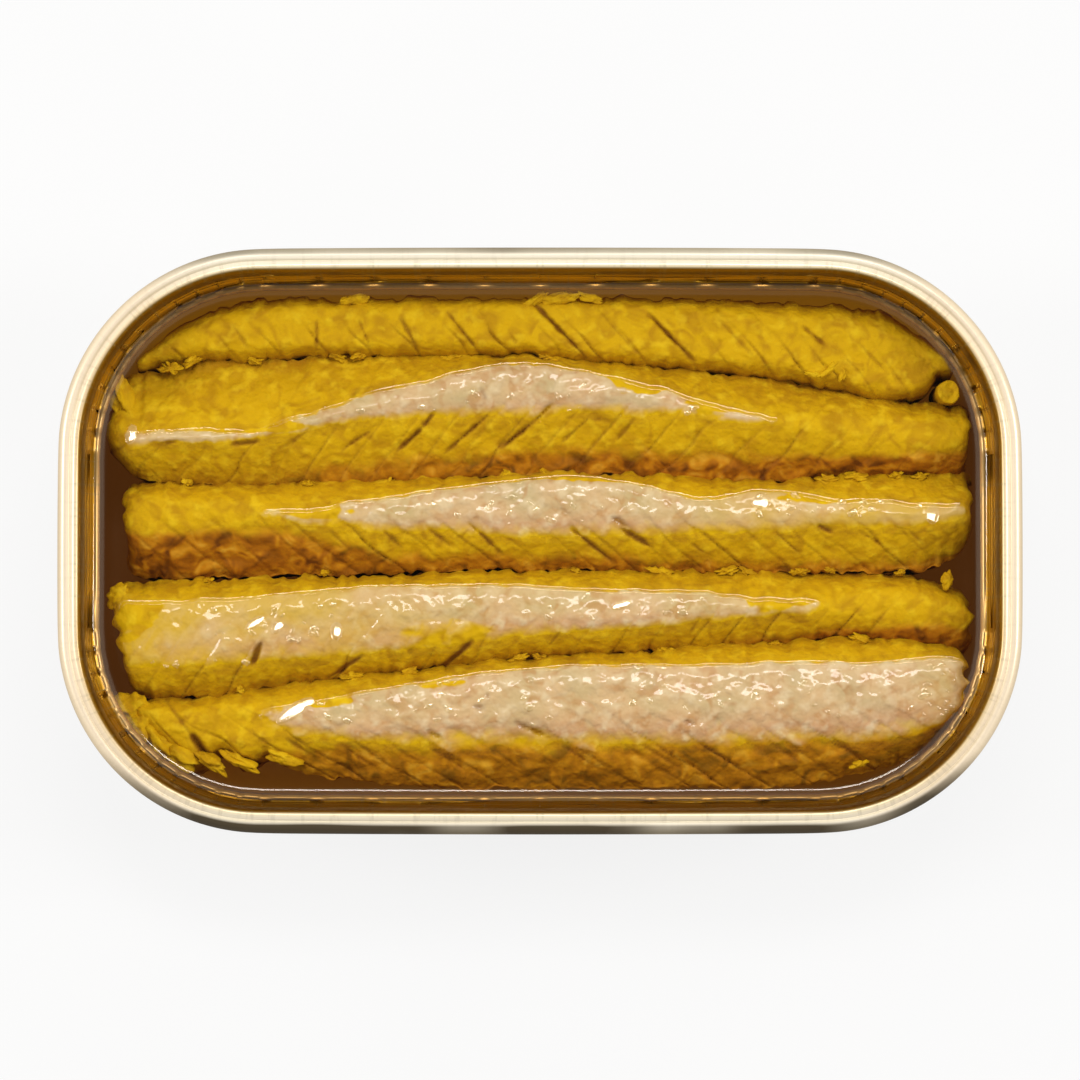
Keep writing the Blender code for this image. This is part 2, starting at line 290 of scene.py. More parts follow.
def keep_value(piece, name, values):
    """Stores one number for each point of a piece, for its material to read."""
    stored = piece.data.attributes.new(name, "FLOAT", "POINT")
    stored.data.foreach_set("value", np.asarray(values, np.float32).ravel())


def ramp(value, start, length):
    """0 up to start, then a straight rise to 1 over a length."""
    return np.clip((value - start) / length, 0, 1)


def inset_and_round(x, y):
    """How far in from the tin's outline points lie, and how far round it, in mm."""
    bow = SIDE_BOW * (1 - (2 * x / TIN_LENGTH) ** 2)
    straight_x = TIN_LENGTH / 2 - CORNER
    straight_y = TIN_WIDTH / 2 - CORNER
    over_x = np.maximum(np.abs(x) - straight_x, 0)
    over_y = np.maximum(np.abs(y) - bow - straight_y, 0)
    inset = CORNER - np.hypot(over_x, over_y)
    turned = CORNER * np.arctan2(over_y, over_x)
    passed = np.minimum(np.abs(y), straight_y) + straight_x - np.minimum(np.abs(x), straight_x)
    return inset, turned + passed


body = outline_plate("drawn_body", *BODY_WALK[0], corner_steps=40)
walk_in(BODY_WALK)
bpy.ops.object.mode_set(mode="OBJECT")

# Bare drawn aluminium: bright, with faint upright streaks left by the drawing die, about
# 0.6 mm apart, and a soft satin shine.
material, shader, add = new_material("drawn_bare_aluminium")
place = add("TexCoord").outputs["Object"]
stretched = add("Mapping", {"Vector": place, "Scale": (1700.0, 1700.0, 60.0)})
streaks = add("TexNoise", {"Vector": stretched, "Scale": 1.0, "Detail": 3.0})
tone = add("ValToRGB", {"Fac": streaks}, stops=((0.25, "#C9C5BC"), (0.75, "#DEDAD0")))
worn = add("MapRange", {"Value": streaks, "To Min": 0.26, "To Max": 0.4})
feed(shader, {"Base Color": tone, "Roughness": worn, "Metallic": 1.0})
body.data.materials.append(material)

# Gold food lacquer over aluminium: clear amber above the oil, and maroon where it is seen
# through the deep oil. Its faint glow is painted light in the deep shade, and painted light
# turns it gold along the long sides, with a gold glow on the far side.
material, shader, add = new_material("gold_lacquered_lining_painted_glow")
place = add("TexCoord").outputs["Object"]
axes = add("SeparateXYZ", {0: place})
depth = add("MapRange", {"Value": axes.outputs["Z"], "From Min": 12.0 * MM, "From Max": 22.0 * MM})
cloud = add("TexNoise", {"Vector": place, "Scale": 220.0, "Detail": 3.0})
shifted = add("Math", {0: cloud, 1: 0.16, 2: depth}, operation="MULTIPLY_ADD")
tone = add(
    "ValToRGB", {"Fac": shifted},
    stops=((0.0, "#4E2808"), (0.55, "#6A380A"), (0.72, "#85500F"), (0.9, "#A8772A")),
)
# Painted light: the lining turns gold along the long sides.
painted_light_long_sides = add("Attribute", attribute_name="painted_light_long_sides").outputs["Fac"]
lining_tone = add("Mix", {0: painted_light_long_sides, 6: tone, 7: "#9C7216"}, data_type="RGBA")
far_side = add(
    "MapRange", {"Value": axes.outputs["Y"], "From Min": -10.0 * MM, "From Max": 20.0 * MM, "To Min": 0.25}
)
# Painted glow: gold on the far side of the long walls, maroon elsewhere.
painted_glow_share = add("Math", {0: painted_light_long_sides, 1: far_side}, operation="MULTIPLY")
glow = add("Mix", {0: painted_glow_share, 6: "#4A280A", 7: "#6E4A0A"}, data_type="RGBA")
feed(shader, {"Base Color": lining_tone, "Metallic": 0.2, "Roughness": 0.34})
# The painted glow: the lining gives off light of its own, though it is no lamp.
feed(shader, {"Emission Color": glow, "Emission Strength": 0.8})
material.cycles.emission_sampling = "NONE"
body.data.materials.append(material)

bpy.ops.object.mode_set(mode="EDIT")
close_up(body, lined=True)
x, y, _ = points_of(body).T
inset, _ = inset_and_round(x, y)
# Where painted light turns the lining gold: along the long sides, near the wall.
keep_value(body, "painted_light_long_sides", ramp(np.abs(y), 16, 8) * ramp(-inset, -7.0, 2.4))
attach(body, "root")
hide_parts("tin_body")


# ---------------------------------------------------------------------------------------
# The rim: the body's flange and the lid's edge rolled together into a double seam. The lid
# was pulled off along its score, which leaves its chuck wall and a narrow lip inside.
# ---------------------------------------------------------------------------------------
RIM_WALK = (
    (0.15, 21.75), (0.15, 22.6), (0.24, 23.15), (0.5, 23.55), (0.9, 23.7), (1.25, 23.6),
    (1.45, 23.48), (1.65, 23.6), (1.9, 23.83), (2.2, 23.83), (2.45, 23.55), (2.58, 22.9),
    (2.75, 21.6), (2.95, 20.4), (3.15, 19.5), (3.4, 18.98), (3.7, 18.8), (4.0, 18.82),
)
rim = outline_plate("seamed_rim", *RIM_WALK[0])
walk_in(RIM_WALK)
bpy.ops.mesh.delete(type="ONLY_FACE")

# The roll's lower edge is turned in towards the body.
ROLL_DROP = 0.65
ROLL_TURN_IN = 0.3
lowest = RIM_WALK[0][1] * MM + 1e-6
pick_edges(rim, lambda start, end: max(start.z, end.z) < lowest)
shrink = tuple(1 - 2 * ROLL_TURN_IN / size for size in (TIN_LENGTH, TIN_WIDTH))
bpy.ops.mesh.extrude_edges_move(TRANSFORM_OT_translate={"value": (0, 0, -ROLL_DROP * MM)})
bpy.ops.transform.resize(value=(*shrink, 1), center_override=(0, 0, 21.1 * MM))
close_up(rim, rounded=True)

x, y, _ = points_of(rim).T
inset, around = inset_and_round(x, y)
keep_value(rim, "inset_mm", inset)
keep_value(rim, "around_mm", around)
# Painted shade down the inside of the near wall and on the far lip beside the fish.
painted_wall_shade = ramp(-y, 18, 8) * ramp(inset, 2.3, 0.3)
far_lip_shade = ramp(y, 12, 8) * ramp(inset, 3.2, 0.3)
keep_value(rim, "painted_wall_shade", np.maximum(painted_wall_shade, 0.9 * far_lip_shade))
# Painted shade on the outer face of the roll along the far and near sides, stronger on the near side.
far_roll_shade = ramp(y, 27, 4) * ramp(-inset, -1.0, 0.4)
near_roll_shade = ramp(-y, 23, 5) * ramp(-inset, -1.4, 0.5)
keep_value(rim, "painted_roll_shade", far_roll_shade + 1.8 * near_roll_shade)
keep_value(rim, "at_ends", ramp(np.abs(x), 34, 10) * ramp(-inset, -2.5, 0.2))

# Lacquered aluminium: pale champagne where it is thin over the roll, deep gold down the
# inside. Painted shade darkens the roll's groove and its outer edge, and painted reflections
# lie as dark and gold bands down the inside. The seaming rolls leave fine cross marks, about
# 0.8 mm apart, and lengthwise lines.
material, shader, add = new_material("champagne_lacquered_rim")
inset, around, at_ends, painted_roll_shade, painted_wall_shade = (
    add("Attribute", attribute_name=name).outputs["Fac"]
    for name in ("inset_mm", "around_mm", "at_ends", "painted_roll_shade", "painted_wall_shade")
)
place = add("TexCoord").outputs["Object"]
rolled = add("CombineXYZ", {0: around, 1: inset})
lines = add("Mapping", {"Vector": rolled, "Scale": (0.05, 7.0, 1.0)})
line_noise = add("TexNoise", {"Vector": lines, "Scale": 1.0, "Detail": 2.0})
cross = add("Mapping", {"Vector": rolled, "Scale": (2.0, 0.3, 1.0)})
cross_noise = add("TexNoise", {"Vector": cross, "Scale": 1.0, "Detail": 2.0})
patches = add("TexNoise", {"Vector": place, "Scale": 60.0})
shift = add("Math", {0: line_noise, 1: 0.12, 2: inset}, operation="MULTIPLY_ADD")
profile_place = add("MapRange", {"Value": shift, "From Min": 0.06, "From Max": 4.26})
# The bands across the rim: the lacquer's own colour, with painted shade in the groove and at the outer
# edge, and painted reflections as dark and gold bands down the inside.
lacquer_with_painted_bands = add(
    "ValToRGB", {"Fac": profile_place},
    stops=(
        (0.02, "#C6B694"), (0.13, "#E9DEC6"), (0.27, "#F7EDD9"), (0.335, "#D6CAAE"),
        (0.4, "#F7ECD6"), (0.52, "#EEDDB8"), (0.58, "#8E6A1C"), (0.66, "#7C5A10"),
        (0.76, "#C89A28"), (0.86, "#966C12"), (1.0, "#D8B27C"),
    ),
)
deepened = add("Mix", {0: at_ends, 6: lacquer_with_painted_bands, 7: "#F8EFE6"}, data_type="RGBA", blend_type="MULTIPLY")
mark = add("MapRange", {"Value": cross_noise, "From Min": 0.52, "From Max": 0.68})
mark_zone = add(
    "MapRange", {"Value": inset, "From Min": 1.2, "From Max": 2.3, "To Min": 0.06, "To Max": 0.3}
)
mark_amount = add("Math", {0: mark, 1: mark_zone}, operation="MULTIPLY")
marked = add("Mix", {0: mark_amount, 6: deepened, 7: "#8E8468"}, data_type="RGBA")
# Painted shade, in patches, on the outer roll along the long sides. It is matte there too.
roll_shade_amount = add("Math", {0: painted_roll_shade, 1: patches}, operation="MULTIPLY", use_clamp=True)
roll_shaded_tone = add("Mix", {0: roll_shade_amount, 6: marked, 7: "#463C2C"}, data_type="RGBA")
# Painted shade: the near inner wall and the far lip darkened to brown.
wall_shade_share = add("Math", {0: painted_wall_shade, 1: 0.6}, operation="MULTIPLY")
rim_tone = add("Mix", {0: wall_shade_share, 6: roll_shaded_tone, 7: "#5A3404"}, data_type="RGBA")
bare_metal = add(
    "MapRange", {"Value": inset, "From Min": 2.2, "From Max": 2.6, "To Min": 0.25, "To Max": 0.9}
)
shine = add("MapRange", {"Value": patches, "To Min": 0.24, "To Max": 0.38})
rim_roughness = add("MapRange", {"Value": roll_shade_amount, "To Min": shine, "To Max": 0.85})
relief = add("Math", {0: cross_noise, 1: 0.5, 2: line_noise}, operation="MULTIPLY_ADD")
bump = add("Bump", {"Height": relief, "Strength": 0.2, "Distance": 0.05 * MM})
feed(shader, {"Base Color": rim_tone, "Metallic": bare_metal, "Roughness": rim_roughness})
feed(shader, {"Specular Tint": "#F6EEDC", "Normal": bump})
rim.data.materials.append(material)
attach(rim, "root")
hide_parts("seam_ring")


# ---------------------------------------------------------------------------------------
# The five fillets: steamed mackerel loins, skinned, laid side by side. Each back is cut by
# slanting flake lines, and the flank towards the near side carries the dark red muscle.
# ---------------------------------------------------------------------------------------
# In mm: the floor under the contents, how far a back falls from its crest to its edges and to
# its ends, over what lengths the ends round off, fade and turn ragged, how far two fillets
# reach under each other, and how far they keep in from the outline.
CONTENTS_BOTTOM = 1.15
FLANK_DROP = 4.5
END_DROP = 1.1
END_ROUNDING = 1.2
END_FADE = 8
END_RAGGED = 3
SEAM_OVERLAP = 0.42
WALL_INSET = 4.1
# How far to each side of the middle flake lines are drawn, and the net of each back.
FLAKES_REACH = 56.0
COLUMNS = 560
ROWS = 96

# Stations along the tin, in mm: place, far edge, far shoulder, near shoulder, near edge, and
# the crest's height over the oil. The shoulders are where the oil meets the fish.
FILLETS = {
    "fillet_1": (
        (-44.9, 20.4, 20.2, 19.6, 19, -1.5), (-41, 23.6, 22.6, 21, 20.1, -1.1),
        (-37.6, 25.4, 24.2, 21.4, 20.4, -0.9), (-32, 26.6, 25.4, 21.6, 20.5, -0.8),
        (-20, 26.9, 26, 22, 21, -0.7), (-10, 27, 26.2, 22, 21, -0.6),
        (0, 27.2, 26.3, 21.8, 20.9, -0.6), (8, 27.1, 26.1, 21.2, 20, -0.7),
        (18, 26.8, 25.6, 20.6, 19.4, -0.7), (27, 26.5, 25, 19.6, 18.5, -0.7),
        (34, 26.2, 24.8, 18.2, 16.9, -0.8), (38.5, 25.4, 23.8, 17.2, 16, -0.9),
        (41.4, 23.8, 22.4, 17.2, 16, -1), (43.2, 22.5, 21.5, 17.9, 16.9, -1.2),
        (44.3, 21.7, 21, 19, 18.4, -1.4), (46.1, 20.4, 20, 19, 18.5, -1.6),
    ),
    "fillet_2": (
        (-48, 14.6, 14, 11.5, 10.2, -1), (-46.4, 17.9, 13.2, 10.2, 8.9, -0.1),
        (-44.4, 18.9, 12.2, 10.4, 7.4, 0.4), (-42, 18.8, 12, 10.9, 7.1, 0.4),
        (-38, 20, 12.1, 10.9, 6.9, 0.4), (-32, 20.1, 12.6, 11.1, 6.9, 0.4),
        (-26.6, 20.3, 14, 11.9, 6.9, 0.5), (-20, 20.6, 16.2, 13.3, 7, 0.7),
        (-12, 20.6, 18.2, 13.7, 7.3, 0.9), (-2, 20.5, 19.7, 13.8, 7.8, 1),
        (5.5, 19.9, 18.7, 14.3, 7.9, 0.9), (14, 19.2, 16.8, 13.9, 7.4, 0.6),
        (24, 18.3, 14.2, 13, 7.1, 0.3), (32, 16.9, 14, 11.2, 7.3, -0.2),
        (43, 15.2, 13.2, 10.4, 7.4, -0.3), (47.8, 14.9, 13.2, 10.6, 7.8, -0.6),
    ),
    "fillet_3": (
        (-46.3, 6.4, 4.6, 0.6, -3.1, -0.9), (-40, 6.5, 4.6, 1, -3.6, -0.6),
        (-33, 6.5, 4.4, 1.8, -3.6, -0.2), (-26, 6.55, 3.7, 2, -3.4, 0.3),
        (-20, 6.6, 4.5, 1.5, -3.1, 0.6), (-7, 7.1, 6.3, 0.6, -2.7, 0.9),
        (5, 7.5, 7.1, 0.5, -2.7, 1), (12, 7.2, 6.2, 0.6, -2.9, 0.9),
        (19, 6.8, 4.9, 0.9, -3, 0.6), (24, 6.6, 5.7, 1.1, -3, 0.8),
        (34, 7.1, 4.7, 1.4, -2.8, 0.7), (40, 7.5, 4.4, 1.6, -2.8, 0.6),
        (44.5, 7.6, 4.1, 2, -2.2, 0.5), (47.8, 7.3, 4.4, 2.4, -0.4, 0),
    ),
    "fillet_4": (
        (-46.9, -4.7, -6.6, -13.8, -15.6, 0.2), (-44, -4.6, -6.6, -14, -16.6, 0.5),
        (-38, -4.5, -6.5, -13.8, -16.9, 0.7), (-27, -4.1, -5.6, -13, -15.3, 0.9),
        (-15.5, -3.9, -4.8, -12.1, -14, 1), (-4, -3.5, -4.8, -10.8, -12.8, 0.9),
        (7, -3.4, -5.3, -9.9, -12.2, 0.8), (18, -3.6, -5.6, -9, -11.4, 0.7),
        (28, -3.6, -6.3, -8, -10.7, 0.4), (35, -3.7, -5.8, -8.4, -10.4, -0.3),
        (42, -4.3, -5.8, -8.8, -11.5, -0.7), (46, -5.4, -6.6, -9.2, -12.1, -0.8),
        (47.9, -6.6, -7.4, -9.4, -12, -1.1),
    ),
    "fillet_5": (
        (-45.4, -17.6, -18.1, -19, -19.6, -1.2), (-43, -17.5, -18.4, -20.4, -22.2, -0.8),
        (-37.6, -17.4, -18.8, -22.6, -25.1, -0.5), (-35.2, -17, -18.4, -21.9, -23.4, -0.4),
        (-32.8, -16.6, -18.2, -22.6, -25.2, -0.2), (-30.4, -16.2, -18, -22, -24, 0.1),
        (-27, -15.7, -17.8, -21.7, -25, 0.4), (-15.5, -14.4, -15.9, -22.4, -26.6, 0.9),
        (-4, -13.3, -14.2, -22.7, -27.1, 1), (7, -12.7, -13.7, -22.7, -27.1, 1),
        (18, -11.9, -13.4, -22.6, -26.9, 1), (30, -11.2, -13.3, -22.3, -26.6, 1),
        (37, -11, -13.3, -22, -25, 1), (43, -11.4, -12.8, -20.8, -23.2, 0.9),
        (46, -12, -13, -18.8, -20.4, 0.8), (47.2, -12.5, -13.2, -17.8, -18.4, 0.5),
    ),
}

# The tables below go from fillet 1 to fillet 5. First, how far each runs along the tin for
# each mm across it: its flake lines, and its left and right ends.
SLANTS = (-0.9, 0.85, -1.2, 0.75, -1.5)
LEANS = ((0, 0), (0, 0), (0, 0.1), (-0.2, 0), (0, 0))

# Where the dark muscle starts on the near flank: place, share of the way down, how strong.
DARK_MUSCLE = (
    ((-43, 0.95, 0), (46, 0.95, 0.3)),
    (
        (-48, 0.95, 0), (-33, 0.9, 0.1), (-24, 0.72, 0.8),
        (14, 0.68, 1), (32, 0.5, 1), (48, 0.34, 1),
    ),
    ((-47, 0.24, 1), (-26, 0.3, 1), (-16, 0.72, 0.9), (48, 0.84, 0.9)),
    ((-47, 0.9, 0.3), (20, 0.9, 0.5), (32, 0.72, 1), (42, 0.42, 1), (48, 0.3, 1)),
    ((-46, 0.95, 0), (-34, 0.85, 0.4), (-22, 0.46, 0.85), (36, 0.46, 0.85), (47, 0.62, 0.6)),
)

# Cracks between flakes, in mm: from x, y, to x, y, width and depth.
CRACKS = (
    (
        (-15.5, 25, -13.6, 21.4, 0.25, 0.5), (-10.3, 25.5, -6.6, 20.9, 0.25, 0.6),
        (-3.5, 23.5, -2.7, 22, 0.2, 0.3), (-1, 26.8, 5.1, 20.6, 0.3, 0.8),
        (12.1, 25.2, 17.2, 20.1, 0.25, 0.7), (6.6, 25.6, 10.8, 20.9, 0.2, 0.3),
        (-24.8, 24.6, -24.8, 21.5, 0.2, 0.4), (-20.1, 24.6, -18.9, 21.8, 0.2, 0.4),
        (29.3, 23.9, 31.7, 21.8, 0.25, 0.6), (19.9, 24.6, 23.5, 20.8, 0.2, 0.3),
        (35.4, 22.1, 38.7, 18.6, 0.2, 0.3), (-34.1, 24.1, -32.5, 21.6, 0.2, 0.3),
        (43.8, 18.6, 44.9, 18.2, 0.3, 0.8),
    ),
    (
        (-15.8, 10.2, -13.1, 12.6, 0.3, 0.9), (-13.1, 12.6, -11.8, 14.2, 0.25, 0.6),
        (-10.5, 10, -5.6, 14.2, 0.25, 0.7), (-4.2, 10.6, -0.7, 13.3, 0.3, 0.9),
        (-0.7, 13.3, 1.3, 15.2, 0.25, 0.6), (2.4, 11.1, 5.4, 13.7, 0.22, 0.5),
        (5.4, 13.7, 7.9, 13.4, 0.2, 0.4), (8.5, 11.3, 10.3, 13.5, 0.22, 0.5),
        (-22, 10.2, -18.7, 12.4, 0.3, 0.6), (-34.1, 10.8, -31.2, 11.1, 0.3, 0.6),
        (-41.7, 10.8, -40.2, 11.1, 0.25, 0.5), (-6.5, 16.8, -5.9, 15.7, 0.35, 0.35),
        (-20.9, 15.9, -20.1, 17, 0.3, 0.25), (-28.8, 10.3, -25.5, 12.4, 0.2, 0.3),
    ),
    (
        (-17.3, 1.2, -15.3, -0.6, 0.25, 0.5), (-12.3, 1.4, -9.6, -0.6, 0.25, 0.5),
        (-7.9, 2.1, -4.2, -1.3, 0.25, 0.6), (3.5, 1.4, 8.3, -2.2, 0.3, 0.8),
        (9, 1.4, 12.5, -0.6, 0.3, 0.8), (8, 2.7, 9.7, 1.7, 0.3, 0.5),
        (16.7, -0.1, 18.2, -1.2, 0.2, 0.4), (26, 1.1, 28.8, -1.2, 0.2, 0.5),
        (30.7, 1.8, 32.3, 1.1, 0.3, 0.7), (35.3, 1.1, 37.6, -0.1, 0.2, 0.4),
        (41, 1.1, 42.4, -0.1, 0.2, 0.4), (-23.2, 1.1, -21, -0.9, 0.2, 0.4),
    ),
    (
        (-30.8, -11.1, -31.9, -13.7, 0.4, 0.8), (-19.6, -12.6, -23.6, -15.1, 0.3, 0.7),
        (-7.6, -11.1, -11.4, -14.2, 0.35, 1), (-14.6, -12, -14.2, -12.4, 0.35, 0.4),
        (17.7, -8.4, 16.6, -10, 0.2, 0.3), (2.2, -10, 0.9, -11.6, 0.2, 0.3),
    ),
    (
        (-38.6, -21.4, -36.6, -24, 0.45, 1.6), (-41.5, -17.6, -38.6, -21.4, 0.3, 0.5),
        (-34.1, -24, -30.8, -24.7, 0.35, 1.2), (-2.7, -20, 1.1, -21.6, 0.3, 0.6),
        (-12.3, -20.9, -11, -21.6, 0.3, 0.5), (-7.4, -18.2, -6.3, -18.4, 0.3, 0.4),
        (-5.9, -16.9, -5.6, -17.3, 0.3, 0.4), (15.8, -19.8, 17.2, -20.1, 0.25, 0.4),
        (24.4, -21.4, 28.8, -24.5, 0.2, 0.4), (32.1, -21.6, 35.4, -23.8, 0.2, 0.4),
        (-22.1, -22.4, -18.6, -24.9, 0.2, 0.4), (-12.2, -22.7, -8.3, -25.2, 0.2, 0.4),
        (2.2, -22.4, 6.6, -25.2, 0.2, 0.4), (11.1, -22.4, 15.5, -25, 0.2, 0.4),
        (17.7, -22.4, 22.1, -25, 0.2, 0.4), (-27.9, -21.9, -25.5, -23.5, 0.25, 0.5),
    ),
)

# Where a skin of oil still lies over the bare backs: x, y, and its reach along and across.
OIL_FILMS = (
    (),
    ((10.5, 17.4, 4.2, 1.3), (22.1, 15.1, 5.5, 0.9), (-31.5, 12.7, 6.6, 0.6)),
    ((28.8, 4.6, 6.1, 0.8), (-24.4, 3.3, 3.3, 0.9), (6.6, 7.1, 6.6, 0.7)),
    (
        (-11.1, -10, 5, 1.8), (-44.8, -8.3, 3.1, 2.7),
        (26.6, -6.6, 3.9, 1.3), (2.2, -11.1, 3.3, 0.9),
    ),
    (
        (26, -17.7, 1.1, 1), (34.3, -17.9, 1.3, 1.1),
        (44.3, -21.6, 2.2, 1.5), (-10, -16.1, 4.4, 0.9),
        (-23.2, -17.7, 2.9, 0.8),
    ),
)

# How strongly oil has stained the bare back yellow: place along the tin and amount.
STAINS = (
    ((-48, 0.3), (48, 0.3)),
    ((-48, 0.3), (-20, 0.1), (10, 0), (48, 0.5)),
    ((-30, 0.3), (-5, 0), (16, 0.15), (26, 0.75), (48, 0.9)),
    ((-48, 1), (-24, 0.7), (-8, 0.2), (12, 0.1), (30, 0.45)),
    ((-30, 0.1), (40, 0), (48, 0.4)),
)


def at_stations(stations, places):
    """A fillet's five values at the given places, along smooth curves through its stations."""
    table = np.array(stations)
    known = table[:, 0]
    values = table[:, 1:]
    slopes = np.gradient(values, known, axis=0)
    k = np.clip(np.searchsorted(known, places, side="right") - 1, 0, len(known) - 2)
    step = (known[k + 1] - known[k])[:, None]
    t = (places - known[k])[:, None] / step
    start = (1 + 2 * t) * (1 - t) ** 2 * values[k] + t * (1 - t) ** 2 * step * slopes[k]
    end = t**2 * (3 - 2 * t) * values[k + 1] - t**2 * (1 - t) * step * slopes[k + 1]
    return (start + end).T


def lumps(x, y, size_x, size_y, seed):
    """Smooth random lumps between -1 and 1, of a size in mm, the same on every run."""
    cells = 256
    lattice = np.random.default_rng(seed).uniform(-1, 1, (cells, cells))
    u = (x + 100) / size_x + 0.35 * np.sin(1.7 * y / size_y + seed)
    v = (y + 100) / size_y + 0.35 * np.sin(1.3 * x / size_x + seed)
    i = np.floor(u).astype(int)
    j = np.floor(v).astype(int)
    s = u - i
    t = v - j
    s = s * s * s * (s * (6 * s - 15) + 10)
    t = t * t * t * (t * (6 * t - 15) + 10)
    low = lattice[i % cells, j % cells] * (1 - s) + lattice[(i + 1) % cells, j % cells] * s
    high = lattice[i % cells, (j + 1) % cells] * (1 - s) + lattice[(i + 1) % cells, (j + 1) % cells] * s
    return low * (1 - t) + high * t


def ease(value, low, high):
    """0 below low, 1 above high, and a smooth rise between."""
    t = np.clip((value - low) / (high - low), 0, 1)
    return t * t * (3 - 2 * t)


def flake_relief(x, y, crest, slant, seed):
    """Overlapping flakes: each rises gently along the fillet and drops at the next line."""
    random = np.random.default_rng(seed)
    place = x - slant * (y - crest) + 0.5 * lumps(x, y, 4.0, 2.5, seed)
    rise = np.zeros_like(x)
    cut = np.zeros_like(x)
    line = -FLAKES_REACH
    while line < FLAKES_REACH:
        pitch = random.uniform(3.2, 5.6)
        strength = random.uniform(0.35, 1.0)
        inside = (place > line) & (place <= line + pitch)
        rise += np.where(inside, strength * (1 - (place - line) / pitch), 0)
        cut = np.maximum(cut, strength * np.exp(-(((place - line) / 0.22) ** 2)))
        line += pitch
    return rise, cut


def crack_depth(x, y, cracks, seed):
    """The depth of the cracks between flakes, deepest in the middle of each."""
    depth = np.zeros_like(x)
    wander = 0.18 * lumps(x, y, 0.9, 0.9, seed)
    for x1, y1, x2, y2, width, deep in cracks:
        run = np.array((x2 - x1, y2 - y1))
        t = ((x - x1) * run[0] + (y - y1) * run[1]) / (run @ run)
        inside = np.clip(t, 0, 1)
        away = np.hypot(x - x1 - inside * run[0], y - y1 - inside * run[1]) + wander * (0.4 + width)
        taper = 1 - 0.6 * (2 * inside - 1) ** 4
        depth = np.maximum(depth, 0.7 * deep * taper * np.exp(-((away / (0.75 * width)) ** 2)))
    return depth


def oil_film(x, y, films, seed):
    """How much of a skin of oil lies over each point, from 0 to 1."""
    film = np.zeros_like(x)
    for centre_x, centre_y, reach_x, reach_y in films:
        away = np.hypot((x - centre_x) / reach_x, (y - centre_y) / reach_y)
        film = np.maximum(film, 1 - ease(away + 0.3 * lumps(x, y, 1.6, 1.0, seed), 0.6, 1.15))
    return film


def close_below(drops, squash, smooth_under):
    """Draws a surface's open edge down in steps, floors it, and turns its faces outwards."""
    pick("EDGE")
    bpy.ops.mesh.select_non_manifold(extend=False)
    for drop in drops:
        bpy.ops.mesh.extrude_edges_move(TRANSFORM_OT_translate={"value": (0, 0, -drop * MM)})
    bpy.ops.transform.resize(value=squash, center_override=(0, 0, CONTENTS_BOTTOM * MM))
    bpy.ops.mesh.edge_face_add()
    face_outwards()
    bpy.ops.object.shade_smooth_by_angle(angle=math.radians(smooth_under))


